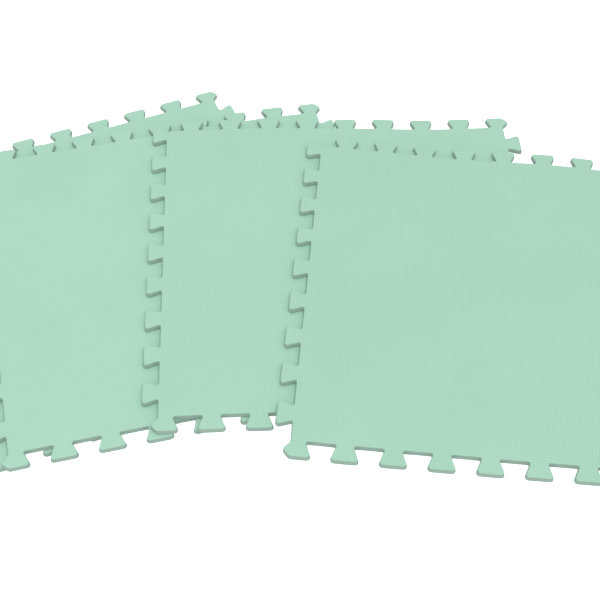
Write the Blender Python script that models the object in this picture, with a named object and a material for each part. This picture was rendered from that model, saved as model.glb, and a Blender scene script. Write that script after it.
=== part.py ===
# Four square foam blocking mats, fanned out in a shingled stack. Every mat is one die-cut sheet of
# closed-cell foam with nine dovetail teeth on each side, so that any side locks into any other.
# Metres, +Z up, the floor at z = 0, the origin under the middle of the fan.
import math

import bmesh
import bpy

# The outline of a mat. The widths of a tooth are those before its corners are rounded.
TEETH_PER_SIDE = 9
TOOTH_PITCH = 0.033
NECK_WIDTH = 0.012
TOOTH_LENGTH = 0.0116
CORNER_TOOTH_HALF = 0.0045

# Radius and number of arc steps, where the outline turns outwards at a head and inwards at a neck
HEAD_ROUNDING = (0.0025, 3)
NECK_ROUNDING = (0.0012, 1)

# The sheet
THICKNESS = 0.004
GAP = 0.0003

# How a mat that runs off the one below comes down again
FLAT_PAST_EDGE = 0.008
FALL_LENGTH = 0.09

# The height of a sheet is set on a square mesh that all four mats share, so stacked faces run parallel
CELL = 0.02
CELLS_PER_SHEET = 22

# From the floor up: name, centre of the mat and its turn in degrees, before the fan is centred
MATS = (
    ("bottom_mat", -0.0013, 0.001, 21.9),
    ("second_mat", 0.0625, -0.003, 13.6),
    ("third_mat", 0.1934, 0.0017, 2.9),
    ("top_mat", 0.3049, -0.0373, -4.8),
)

# Worked out from the dimensions above. A tooth's head fills the gap between two necks, and the first tooth
# stands half a pitch further from its corner than the last, so mats interlock.
HEAD_WIDTH = TOOTH_PITCH - NECK_WIDTH
FIRST_TOOTH = TOOTH_PITCH / 2 + CORNER_TOOTH_HALF
BODY_SIDE = (TEETH_PER_SIDE - 1) * TOOTH_PITCH + FIRST_TOOTH + CORNER_TOOTH_HALF
REACH = BODY_SIDE / 2 + TOOTH_LENGTH
LAYER = THICKNESS + GAP


def clear_scene():
    for old in list(bpy.data.objects):
        bpy.data.objects.remove(old, do_unlink=True)


def foam_material(name, colour):
    material = bpy.data.materials.new(name)
    material.use_nodes = True
    shader = material.node_tree.nodes["Principled BSDF"]
    shader.inputs["Base Color"].default_value = (*colour, 1.0)
    shader.inputs["Roughness"].default_value = 0.85
    shader.inputs["Metallic"].default_value = 0.0
    return material


def side_corners():
    # One side as (along, out, rounding), along from its first corner and out from the body. It starts with
    # a gap. Its last tooth is cut off flush with the next side, and has a square point there, half a tooth
    # out, so that four mats can meet in one place.
    corners = [(0.0, 0.0, NECK_ROUNDING)]
    for tooth in range(TEETH_PER_SIDE):
        middle = FIRST_TOOTH + tooth * TOOTH_PITCH
        corners.append((middle - NECK_WIDTH / 2, 0.0, NECK_ROUNDING))
        corners.append((middle - HEAD_WIDTH / 2, TOOTH_LENGTH, HEAD_ROUNDING))
        if tooth < TEETH_PER_SIDE - 1:
            corners.append((middle + HEAD_WIDTH / 2, TOOTH_LENGTH, HEAD_ROUNDING))
            corners.append((middle + NECK_WIDTH / 2, 0.0, NECK_ROUNDING))
    corners.append((BODY_SIDE, TOOTH_LENGTH, HEAD_ROUNDING))
    corners.append((BODY_SIDE + TOOTH_LENGTH / 2, TOOTH_LENGTH / 2, HEAD_ROUNDING))
    return corners


def rounded(before, corner, after, rounding):
    # The corner's arc, as one point more than its steps
    radius, steps = rounding
    x, y = corner
    back = math.atan2(before[1] - y, before[0] - x)
    ahead = math.atan2(after[1] - y, after[0] - x)
    turn = (ahead - back + math.pi) % (2 * math.pi) - math.pi
    middle, half = back + turn / 2, abs(turn) / 2
    away = radius / math.sin(half)
    centre = (x + away * math.cos(middle), y + away * math.sin(middle))
    sweep = (half - math.pi / 2) * math.copysign(1, turn)
    angles = [middle + sweep * (2 * step / steps - 1) for step in range(steps + 1)]
    return [(centre[0] - radius * math.cos(a), centre[1] - radius * math.sin(a)) for a in angles]


def mat_outline():
    # The whole outline round the mat's own centre, clockwise from the top left corner
    corners = []
    for side in range(4):
        cosine, sine = math.cos(side * math.pi / 2), math.sin(side * math.pi / 2)
        for along, out, rounding in side_corners():
            x, y = along - BODY_SIDE / 2, out + BODY_SIDE / 2
            corners.append(((x * cosine + y * sine, y * cosine - x * sine), rounding))
    points = []
    for number, (corner, rounding) in enumerate(corners):
        before, after = corners[number - 1][0], corners[(number + 1) % len(corners)][0]
        points += rounded(before, corner, after, rounding)
    return points


def centred_mats(outline):
    # The mats moved so that the box round the whole fan has its middle over the origin
    across, deep = [], []
    for _, x, y, degrees in MATS:
        turn = math.radians(degrees)
        across += [x + u * math.cos(turn) - v * math.sin(turn) for u, v in outline]
        deep += [y + u * math.sin(turn) + v * math.cos(turn) for u, v in outline]
    middle_x, middle_y = (min(across) + max(across)) / 2, (min(deep) + max(deep)) / 2
    return [(name, x - middle_x, y - middle_y, math.radians(degrees)) for name, x, y, degrees in MATS]


def held_up(x, y, mat):
    # 1 over a mat and just past its edges, easing to 0 at FALL_LENGTH from them
    _, mat_x, mat_y, turn = mat
    along = (x - mat_x) * math.cos(turn) + (y - mat_y) * math.sin(turn)
    across = (y - mat_y) * math.cos(turn) - (x - mat_x) * math.sin(turn)
    past = math.hypot(max(abs(along) - REACH, 0.0), max(abs(across) - REACH, 0.0))
    share = min(max((past - FLAT_PAST_EDGE) / (FALL_LENGTH - FLAT_PAST_EDGE), 0.0), 1.0)
    return 1.0 - share * share * (3.0 - 2.0 * share)


def sheet(mat, mats_below):
    # A square of foam big enough to cut the mat from, lying over the mats below
    name, mat_x, mat_y, _ = mat
    mesh = bmesh.new()
    bmesh.ops.create_grid(
        mesh, x_segments=CELLS_PER_SHEET, y_segments=CELLS_PER_SHEET, size=CELLS_PER_SHEET * CELL / 2
    )
    bmesh.ops.triangulate(mesh, faces=mesh.faces, quad_method="FIXED")
    start_x, start_y = round(mat_x / CELL) * CELL, round(mat_y / CELL) * CELL
    for vert in mesh.verts:
        x, y = vert.co.x + start_x, vert.co.y + start_y
        lift = sum(held_up(x, y, below) for below in mats_below)
        vert.co = (x - mat_x, y - mat_y, lift * LAYER)
    top = bmesh.ops.extrude_face_region(mesh, geom=mesh.faces[:])
    moved = [part for part in top["geom"] if isinstance(part, bmesh.types.BMVert)]
    bmesh.ops.translate(mesh, verts=moved, vec=(0, 0, THICKNESS))
    bmesh.ops.recalc_face_normals(mesh, faces=mesh.faces)
    data = bpy.data.meshes.new(name)
    mesh.to_mesh(data)
    mesh.free()
    made = bpy.data.objects.new(name, data)
    bpy.context.collection.objects.link(made)
    made.location = (mat_x, mat_y, 0)
    return made


def die(mat, outline, height):
    # The outline as a tall block, which cuts the mat from its sheet
    name, mat_x, mat_y, turn = mat
    mesh = bmesh.new()
    verts = [mesh.verts.new((x, y, -height)) for x, y in reversed(outline)]
    base = mesh.faces.new(verts)
    raised = bmesh.ops.extrude_face_region(mesh, geom=[base])
    moved = [part for part in raised["geom"] if isinstance(part, bmesh.types.BMVert)]
    bmesh.ops.translate(mesh, verts=moved, vec=(0, 0, 2 * height))
    bmesh.ops.recalc_face_normals(mesh, faces=mesh.faces)
    data = bpy.data.meshes.new(name + "_die")
    mesh.to_mesh(data)
    mesh.free()
    made = bpy.data.objects.new(name + "_die", data)
    bpy.context.collection.objects.link(made)
    made.location = (mat_x, mat_y, 0)
    made.rotation_euler.z = turn
    made.hide_render = True
    made.display_type = "WIRE"
    return made


def build():
    clear_scene()
    foam = foam_material("mint_foam", (0.41, 0.67, 0.53))
    outline = mat_outline()
    mats = centred_mats(outline)
    for number, mat in enumerate(mats):
        made = sheet(mat, mats[:number])
        made.data.materials.append(foam)
        cut = made.modifiers.new("die_cut", "BOOLEAN")
        cut.operation = "INTERSECT"
        cut.solver = "EXACT"
        cut.object = die(mat, outline, len(mats) * LAYER + GAP)


build()
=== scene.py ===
# The looks of four mint-green foam blocking mats, fanned out over each other on a white table.
# Every mat is cut from one outline, laid over the mats below it, and given its embossed skin,
# its cut edge and its plain back.
import math

import bmesh
import bpy
from mathutils import Matrix, Vector, noise


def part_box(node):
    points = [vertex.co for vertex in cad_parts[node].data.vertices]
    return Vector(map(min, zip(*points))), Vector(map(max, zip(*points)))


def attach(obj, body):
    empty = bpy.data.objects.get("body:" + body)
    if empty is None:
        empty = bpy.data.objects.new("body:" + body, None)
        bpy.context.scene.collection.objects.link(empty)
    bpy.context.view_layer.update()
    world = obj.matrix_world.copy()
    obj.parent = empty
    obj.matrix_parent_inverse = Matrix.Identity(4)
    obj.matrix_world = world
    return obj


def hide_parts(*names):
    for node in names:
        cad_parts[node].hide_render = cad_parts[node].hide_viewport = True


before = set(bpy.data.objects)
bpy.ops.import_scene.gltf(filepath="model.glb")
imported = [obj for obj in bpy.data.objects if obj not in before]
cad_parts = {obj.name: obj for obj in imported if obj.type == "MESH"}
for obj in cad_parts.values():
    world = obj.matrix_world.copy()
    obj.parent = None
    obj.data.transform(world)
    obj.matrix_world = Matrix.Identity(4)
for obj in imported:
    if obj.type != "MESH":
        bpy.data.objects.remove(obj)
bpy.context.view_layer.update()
print("Frame loaded, with", len(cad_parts), "mats")


# The outline and section of a mat, in metres
matCut = {
    "teeth": 9,
    "pitch": 0.033,
    "side": 0.2895,          # the square without its teeth
    "firstTooth": 0.021,     # from a corner to the middle of the first tooth
    "rootWidth": 0.012,      # a tooth where it leaves the square, before its corners are rounded
    "toothLength": 0.0116,
    "headRadius": 0.0025,
    "rootRadius": 0.0012,
    "cornerSegments": 5,
    "roundProfile": 0.5,     # a plain arc
    "offsetDigits": 7,       # corners whose roundings agree this far are rounded together
    "draft": 0.0008,         # the foam springs in as it is cut, so the side wall slopes
    "thickness": 0.004,
    "topRounding": 0.0007,   # the die draws the skin down a little as it cuts
    "backRounding": 0.0003,
    "roundingSegments": 4,
    "supportBand": 0.0005,   # inside the rounding, to keep the flat face's shading flat
    "levelSlack": 1e-6,      # how far from a height a corner still counts as at it
    "flatNormal": 0.45,      # a face whose normal rises no more than this is cut edge
    "slice": 0.00825,        # spacing of the slices that let a mat bend
    "sliceSlack": 1e-5,      # corners this near a slice are taken to be on it
}

# How the mats lie, from the table up
stack = {
    "turns": {"bottom_mat": 21.9, "second_mat": 13.6, "third_mat": 2.9, "top_mat": -4.8},
    "layer": 0.0043,         # a mat and the air over it
    "flatPastEdge": 0.008,
    "fallLength": 0.09,
    "reach": 0.15635,        # from the middle of a mat to the ends of its teeth
    "wave": 0.0002,          # the foam never lies quite level
    "waveLength": 0.07,
}


def matPlaces():
    # The middle and the turn of every mat. Half a turn leaves a mat's outline as it was, so the
    # middle of a mat's box is the middle of the mat.
    places = {}
    for name, degrees in stack["turns"].items():
        low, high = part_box(name)
        places[name] = ((low.x + high.x) / 2, (low.y + high.y) / 2, math.radians(degrees))
    return places


def sideCorners(cut, spread):
    # One side as (along, out): a gap, the teeth, and the corner tooth with its point, all drawn
    # outwards by the spread
    half = (cut["pitch"] - 2 * cut["rootWidth"]) / 2
    lean = (math.hypot(half, cut["toothLength"]) + half) / cut["toothLength"]
    root = cut["rootWidth"] / 2 + spread * lean
    head = root + half
    side, length = cut["side"] + 2 * spread, cut["toothLength"]
    corners = [(0.0, 0.0)]
    for tooth in range(cut["teeth"]):
        middle = cut["firstTooth"] + spread + tooth * cut["pitch"]
        corners += [(middle - root, 0.0), (middle - head, length)]
        if tooth < cut["teeth"] - 1:
            corners += [(middle + head, length), (middle + root, 0.0)]
    corners += [(side, length), (side + length / 2, length / 2)]
    return [(along - side / 2, out + side / 2) for along, out in corners]


def drawOutline(bm, cut):
    # The flat outline of the underside as one face, with every corner rounded. The side wall slopes
    # in from here, so it starts half the draft outside the nominal outline.
    spread = cut["draft"] / 2
    chain = []
    for side in range(4):
        turn = Matrix.Rotation(-side * math.pi / 2, 4, "Z")
        chain += [bm.verts.new(turn @ Vector((*corner, 0))) for corner in sideCorners(cut, spread)]
    bm.faces.new(reversed(chain))
    byOffset = {}
    for number, vert in enumerate(chain):
        back = chain[number - 1].co - vert.co
        ahead = chain[(number + 1) % len(chain)].co - vert.co
        outward = back.cross(ahead).z > 0
        radius = cut["headRadius"] + spread if outward else cut["rootRadius"] - spread
        offset = radius / math.tan(back.angle(ahead) / 2)
        byOffset.setdefault(round(offset, cut["offsetDigits"]), []).append(vert)
    for offset, verts in byOffset.items():
        bmesh.ops.bevel(
            bm, geom=verts, offset=offset, offset_type="OFFSET", segments=cut["cornerSegments"],
            profile=cut["roundProfile"], affect="VERTICES", material=-1,
        )


def thickenMat(bm, cut):
    # The outline raised to its thickness with a sloping wall, both rims rounded, and a support band
    # inside each rim
    bmesh.ops.inset_region(
        bm, faces=bm.faces[:], thickness=cut["draft"], depth=cut["thickness"],
        use_boundary=True, use_even_offset=True,
    )
    bmesh.ops.holes_fill(bm, edges=[e for e in bm.edges if e.is_boundary], sides=0)
    bmesh.ops.recalc_face_normals(bm, faces=bm.faces)
    for height, rounding in ((cut["thickness"], cut["topRounding"]), (0.0, cut["backRounding"])):
        rim = [
            e for e in bm.edges
            if all(abs(v.co.z - height) < cut["levelSlack"] for v in e.verts)
        ]
        bmesh.ops.bevel(
            bm, geom=rim, offset=rounding, offset_type="OFFSET", segments=cut["roundingSegments"],
            profile=cut["roundProfile"], affect="EDGES", material=-1, clamp_overlap=True,
        )
    flatFaces = [f for f in bm.faces if len(f.verts) > 4]
    for face in flatFaces:
        bmesh.ops.inset_region(bm, faces=[face], thickness=cut["supportBand"], use_even_offset=True)


def sliceMat(bm, cut):
    # Straight slices both ways, so that the sheet can bend
    count = math.ceil((cut["side"] / 2 + cut["toothLength"]) / cut["slice"])
    for direction in (Vector((1, 0, 0)), Vector((0, 1, 0))):
        for step in range(-count, count + 1):
            bmesh.ops.bisect_plane(
                bm, geom=bm.verts[:] + bm.edges[:] + bm.faces[:], dist=cut["sliceSlack"],
                plane_co=direction * step * cut["slice"], plane_no=direction,
            )


def heldUp(x, y, place):
    # 1 over a mat and just past its edge, easing to 0 at the end of the fall
    middleX, middleY, turn = place
    along = (x - middleX) * math.cos(turn) + (y - middleY) * math.sin(turn)
    across = (y - middleY) * math.cos(turn) - (x - middleX) * math.sin(turn)
    past = math.hypot(max(abs(along) - stack["reach"], 0), max(abs(across) - stack["reach"], 0))
    share = (past - stack["flatPastEdge"]) / (stack["fallLength"] - stack["flatPastEdge"])
    share = min(max(share, 0), 1)
    return 1 - share * share * (3 - 2 * share)


def layDown(bm, place, placesBelow):
    # Turns the mat, moves it to its place and drapes it over the mats below
    middleX, middleY, turn = place
    bmesh.ops.rotate(bm, verts=bm.verts, cent=(0, 0, 0), matrix=Matrix.Rotation(turn, 3, "Z"))
    bmesh.ops.translate(bm, verts=bm.verts, vec=(middleX, middleY, 0))
    for vert in bm.verts:
        x, y = vert.co.x, vert.co.y
        lift = sum(heldUp(x, y, below) for below in placesBelow) * stack["layer"]
        wave = noise.noise(Vector((x, y, 0)) / stack["waveLength"]) + 1
        vert.co.z += lift + wave / 2 * stack["wave"]


# The foam's colours, with painted shade in the emboss grooves and the cut pores, and the patterns
# on it
foam = {
    "skin": (0.41, 0.68, 0.535, 1),
    "skinPale": (0.43, 0.70, 0.558, 1),
    # painted shade for the bottom of an emboss groove
    "grooveShadeColour": (0.32, 0.58, 0.43, 1),
    "cut": (0.36, 0.505, 0.43, 1),
    # painted shade for the bottom of an open pore on the cut edge
    "poreShadeColour": (0.28, 0.41, 0.345, 1),
    "back": (0.39, 0.65, 0.51, 1),
    "embossPitch": 0.00204,
    "embossDepth": 0.00012,
    "embossStrength": 0.8,
    "grooveShadeAmount": 0.4,       # how much painted shade darkens a groove, at a crispness of 1
    # Where each pattern starts and where it is full: a groove in pitches from the middle of a
    # pad, a pit in cells from the middle of a cell, a cloud in the value of its noise
    "grooveRange": (0.26, 0.5),
    "pitRange": (0.55, 0.15),
    "cloudRange": (0.3, 0.7),
    "cloudDetail": 3.0,
    # How sharp the emboss still is on every mat, and how strong the painted shade in its grooves is
    "crispness": {"bottom_mat": 0.55, "second_mat": 0.55, "third_mat": 1.0, "top_mat": 1.4},
}

# Repeats are per metre. A bump is its strength and its depth in metres.
finishes = {
    "skin": {
        "roughness": 0.62, "specular": 0.35, "clouds": 12.0, "pores": 6000.0,
        "poreBump": (0.25, 0.00003),
    },
    "cutEdge": {
        "roughness": 0.9, "specular": 0.2, "clouds": 40.0, "pores": 2600.0,
        "poreBump": (0.7, 0.00012), "cloudBump": (0.4, 0.0003),
    },
    "back": {
        "roughness": 0.7, "specular": 0.3, "clouds": 9.0, "pores": 4000.0,
        "poreBump": (0.4, 0.00005),
    },
    "table": {"roughness": 0.9, "specular": 0.1},
}


def newGroup(name, outputs):
    # An empty shader group for a pattern that repeats over a vector, and its two ends
    group = bpy.data.node_groups.new(name, "ShaderNodeTree")
    for label, kind in (("Vector", "NodeSocketVector"), ("Per Metre", "NodeSocketFloat")):
        group.interface.new_socket(label, in_out="INPUT", socket_type=kind)
    for label in outputs:
        group.interface.new_socket(label, in_out="OUTPUT", socket_type="NodeSocketFloat")
    return group, group.nodes.new("NodeGroupInput"), group.nodes.new("NodeGroupOutput")


def mathNode(tree, operation, first, second):
    node = tree.nodes.new("ShaderNodeMath")
    node.operation = operation
    for number, value in enumerate((first, second)):
        if isinstance(value, (int, float)):
            node.inputs[number].default_value = value
        else:
            tree.links.new(value, node.inputs[number])
    return node.outputs[0]


def vectorNode(tree, operation, first, second=None):
    node = tree.nodes.new("ShaderNodeVectorMath")
    node.operation = operation
    for number, value in enumerate((first, second)):
        if isinstance(value, tuple):
            node.inputs[number].default_value = value
        elif value is not None:
            tree.links.new(value, node.inputs[number])
    return node.outputs[0]


def easeNode(tree, value, start, full):
    # 0 as far as the start, 1 past full, and a smooth step between
    node = tree.nodes.new("ShaderNodeMapRange")
    node.interpolation_type = "SMOOTHSTEP"
    tree.links.new(value, node.inputs["Value"])
    node.inputs["From Min"].default_value = start
    node.inputs["From Max"].default_value = full
    return node.outputs["Result"]


def makeEmbossGroup():
    # Small square pads in rows, with a groove between them
    group, start, end = newGroup("squareEmboss", ["Height", "Groove"])
    perMetre = group.nodes.new("ShaderNodeCombineXYZ")
    for axis in range(3):
        group.links.new(start.outputs["Per Metre"], perMetre.inputs[axis])
    scaled = vectorNode(group, "MULTIPLY", start.outputs["Vector"], perMetre.outputs[0])
    cell = vectorNode(group, "FRACTION", scaled)
    cellMiddle = (0.5, 0.5, 0.5)
    fromMiddle = vectorNode(group, "ABSOLUTE", vectorNode(group, "SUBTRACT", cell, cellMiddle))
    split = group.nodes.new("ShaderNodeSeparateXYZ")
    group.links.new(fromMiddle, split.inputs[0])
    edge = mathNode(group, "MAXIMUM", split.outputs[0], split.outputs[1])
    groove = easeNode(group, edge, *foam["grooveRange"])
    group.links.new(groove, end.inputs["Groove"])
    group.links.new(mathNode(group, "SUBTRACT", 1.0, groove), end.inputs["Height"])
    return group


def makePoreGroup():
    # The bubbles of closed-cell foam: their height, and a mask for painted shade in the pits
    group, start, end = newGroup("foamPores", ["Height", "PitShade"])
    cells = group.nodes.new("ShaderNodeTexVoronoi")
    group.links.new(start.outputs["Vector"], cells.inputs["Vector"])
    group.links.new(start.outputs["Per Metre"], cells.inputs["Scale"])
    pit = easeNode(group, cells.outputs["Distance"], *foam["pitRange"])
    group.links.new(pit, end.inputs["PitShade"])
    group.links.new(mathNode(group, "SUBTRACT", 1.0, pit), end.inputs["Height"])
    return group


def makeMottleGroup():
    # Slow, soft unevenness, as on foam that has been handled
    group, start, end = newGroup("handledMottle", ["Cloud"])
    cloud = group.nodes.new("ShaderNodeTexNoise")
    cloud.inputs["Detail"].default_value = foam["cloudDetail"]
    group.links.new(start.outputs["Vector"], cloud.inputs["Vector"])
    group.links.new(start.outputs["Per Metre"], cloud.inputs["Scale"])
    eased = easeNode(group, cloud.outputs[0], *foam["cloudRange"])
    group.links.new(eased, end.inputs["Cloud"])
    return group


def placeGroup(tree, group, vector, perMetre):
    node = tree.nodes.new("ShaderNodeGroup")
    node.node_tree = group
    tree.links.new(vector, node.inputs["Vector"])
    node.inputs["Per Metre"].default_value = perMetre
    return node


def mixColours(tree, factor, first, second):
    node = tree.nodes.new("ShaderNodeMix")
    node.data_type = "RGBA"
    tree.links.new(factor, node.inputs["Factor"])
    for label, value in (("A", first), ("B", second)):
        socket = next(s for s in node.inputs if s.name == label and s.type == "RGBA")
        if isinstance(value, tuple):
            socket.default_value = value
        else:
            tree.links.new(value, socket)
    return next(s for s in node.outputs if s.type == "RGBA")


def bumpNode(tree, height, strength, distance, normal=None):
    node = tree.nodes.new("ShaderNodeBump")
    node.inputs["Strength"].default_value = strength
    node.inputs["Distance"].default_value = distance
    tree.links.new(height, node.inputs["Height"])
    if normal is not None:
        tree.links.new(normal, node.inputs["Normal"])
    return node.outputs[0]


def newMaterial(name, finish):
    material = bpy.data.materials.new(name)
    material.use_nodes = True
    shader = material.node_tree.nodes["Principled BSDF"]
    shader.inputs["Roughness"].default_value = finish["roughness"]
    shader.inputs["Specular IOR Level"].default_value = finish["specular"]
    return material, material.node_tree, shader


def matCoordinates(tree, place=(0, 0, 0)):
    # Object coordinates round the middle of a mat and along its sides
    coordinates = tree.nodes.new("ShaderNodeTexCoord")
    mapping = tree.nodes.new("ShaderNodeMapping")
    mapping.vector_type = "TEXTURE"
    mapping.inputs["Location"].default_value = (place[0], place[1], 0)
    mapping.inputs["Rotation"].default_value = (0, 0, place[2])
    tree.links.new(coordinates.outputs["Object"], mapping.inputs["Vector"])
    return mapping.outputs[0]


def makeSkin(name, place, crispness, groups):
    # The embossed face, with painted shade in the grooves
    finish = finishes["skin"]
    material, tree, shader = newMaterial(name, finish)
    vector = matCoordinates(tree, place)
    emboss = placeGroup(tree, groups["emboss"], vector, 1 / foam["embossPitch"])
    mottle = placeGroup(tree, groups["mottle"], vector, finish["clouds"])
    pores = placeGroup(tree, groups["pores"], vector, finish["pores"])
    colour = mixColours(tree, mottle.outputs["Cloud"], foam["skin"], foam["skinPale"])
    # the grooves are darkened with painted shade, stronger on the crisper mats
    grooveShadeStrength = foam["grooveShadeAmount"] * crispness
    grooveShadeMask = mathNode(tree, "MULTIPLY", emboss.outputs["Groove"], grooveShadeStrength)
    colour = mixColours(tree, grooveShadeMask, colour, foam["grooveShadeColour"])
    tree.links.new(colour, shader.inputs["Base Color"])
    depth = foam["embossDepth"] * crispness
    bump = bumpNode(tree, emboss.outputs["Height"], foam["embossStrength"], depth)
    bump = bumpNode(tree, pores.outputs["Height"], *finish["poreBump"], bump)
    tree.links.new(bump, shader.inputs["Normal"])
    return material


def makeCutEdge(groups):
    # The cut side, where the die has opened the foam's cells, with painted shade in the open pores
    finish = finishes["cutEdge"]
    material, tree, shader = newMaterial("cutEdge", finish)
    vector = matCoordinates(tree)
    pores = placeGroup(tree, groups["pores"], vector, finish["pores"])
    mottle = placeGroup(tree, groups["mottle"], vector, finish["clouds"])
    # the open pores are darkened with painted shade
    colour = mixColours(tree, pores.outputs["PitShade"], foam["cut"], foam["poreShadeColour"])
    tree.links.new(colour, shader.inputs["Base Color"])
    bump = bumpNode(tree, pores.outputs["Height"], *finish["poreBump"])
    bump = bumpNode(tree, mottle.outputs["Cloud"], *finish["cloudBump"], bump)
    tree.links.new(bump, shader.inputs["Normal"])
    return material


def makeBack(groups):
    # The plain underside
    finish = finishes["back"]
    material, tree, shader = newMaterial("plainBack", finish)
    vector = matCoordinates(tree)
    pores = placeGroup(tree, groups["pores"], vector, finish["pores"])
    mottle = placeGroup(tree, groups["mottle"], vector, finish["clouds"])
    colour = mixColours(tree, mottle.outputs["Cloud"], foam["back"], foam["skinPale"])
    tree.links.new(colour, shader.inputs["Base Color"])
    bump = bumpNode(tree, pores.outputs["Height"], *finish["poreBump"])
    tree.links.new(bump, shader.inputs["Normal"])
    return material


def makeMat(name, places, cutEdge, back, groups):
    # One mat in its place. Its material slots are 0 the skin, 1 the cut edge and 2 the back.
    names = list(places)
    below = [places[other] for other in names[:names.index(name)]]
    bm = bmesh.new()
    drawOutline(bm, matCut)
    thickenMat(bm, matCut)
    middleHeight = matCut["thickness"] / 2
    bm.normal_update()
    for face in bm.faces:
        if abs(face.normal.z) <= matCut["flatNormal"]:
            face.material_index = 1
        elif face.calc_center_median().z > middleHeight:
            face.material_index = 0
        else:
            face.material_index = 2
        face.smooth = True
    sliceMat(bm, matCut)
    layDown(bm, places[name], below)
    data = bpy.data.meshes.new(name.replace("_mat", "FoamMat"))
    bm.to_mesh(data)
    bm.free()
    skinName = name.replace("_mat", "Skin")
    skin = makeSkin(skinName, places[name], foam["crispness"][name], groups)
    for material in (skin, cutEdge, back):
        data.materials.append(material)
    piece = bpy.data.objects.new(data.name, data)
    bpy.context.scene.collection.objects.link(piece)
    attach(piece, name)
    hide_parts(name)
    print(piece.name, "cut and laid down,", len(data.polygons), "faces")


groups = {"emboss": makeEmbossGroup(), "pores": makePoreGroup(), "mottle": makeMottleGroup()}
places = matPlaces()
cutEdge = makeCutEdge(groups)
back = makeBack(groups)
for name in places:
    makeMat(name, places, cutEdge, back, groups)


# The table, the lights and the camera
studio = {
    "floorSize": 6.0,
    "floorDrop": 0.0002,     # the table's top is just under the mats' undersides
    "floorColour": (0.93, 0.93, 0.93, 1),
    "skyColour": (1, 1, 1, 1),
    "skyStrength": 0.8,
    "lampPlace": (0.4, -1.2, 3.3),
    "lampSize": 2.4,
    "lampEnergy": 36.5,
    "cameraPlace": (0.01924, -0.58698, 0.6839),
    "cameraTilt": 38.97,
    "cameraNear": 0.01,
    "lens": 69.12,
    "sensor": 36.0,
}


def makeFloor():
    # The table glows for the camera alone, so that it stays white under the mats and lights nothing
    bm = bmesh.new()
    bmesh.ops.create_grid(bm, x_segments=1, y_segments=1, size=studio["floorSize"] / 2)
    data = bpy.data.meshes.new("floor")
    bm.to_mesh(data)
    bm.free()
    material, tree, shader = newMaterial("whiteTable", finishes["table"])
    shader.inputs["Base Color"].default_value = studio["floorColour"]
    shader.inputs["Emission Color"].default_value = studio["floorColour"]
    rays = tree.nodes.new("ShaderNodeLightPath")
    tree.links.new(rays.outputs["Is Camera Ray"], shader.inputs["Emission Strength"])
    data.materials.append(material)
    floor = bpy.data.objects.new("floor", data)
    bpy.context.scene.collection.objects.link(floor)
    floor.location.z = -studio["floorDrop"]


def makeLights():
    world = bpy.data.worlds.new("studio")
    world.use_nodes = True
    sky = world.node_tree.nodes["Background"]
    sky.inputs["Color"].default_value = studio["skyColour"]
    sky.inputs["Strength"].default_value = studio["skyStrength"]
    bpy.context.scene.world = world
    data = bpy.data.lights.new("softBox", "AREA")
    data.shape = "SQUARE"
    data.size = studio["lampSize"]
    data.energy = studio["lampEnergy"]
    lamp = bpy.data.objects.new("softBox", data)
    lamp.location = studio["lampPlace"]
    lamp.rotation_euler = (-Vector(studio["lampPlace"])).to_track_quat("-Z", "Y").to_euler()
    bpy.context.scene.collection.objects.link(lamp)


def makeCamera():
    data = bpy.data.cameras.new("camera")
    data.lens = studio["lens"]
    data.sensor_width = studio["sensor"]
    data.clip_start = studio["cameraNear"]
    camera = bpy.data.objects.new("camera", data)
    camera.location = studio["cameraPlace"]
    camera.rotation_euler = (math.radians(studio["cameraTilt"]), 0, 0)
    bpy.context.scene.collection.objects.link(camera)
    bpy.context.scene.camera = camera


makeFloor()
makeLights()
makeCamera()
bpy.context.scene.view_settings.view_transform = "Standard"
print("Table, lights and camera set")

bpy.context.view_layer.update()
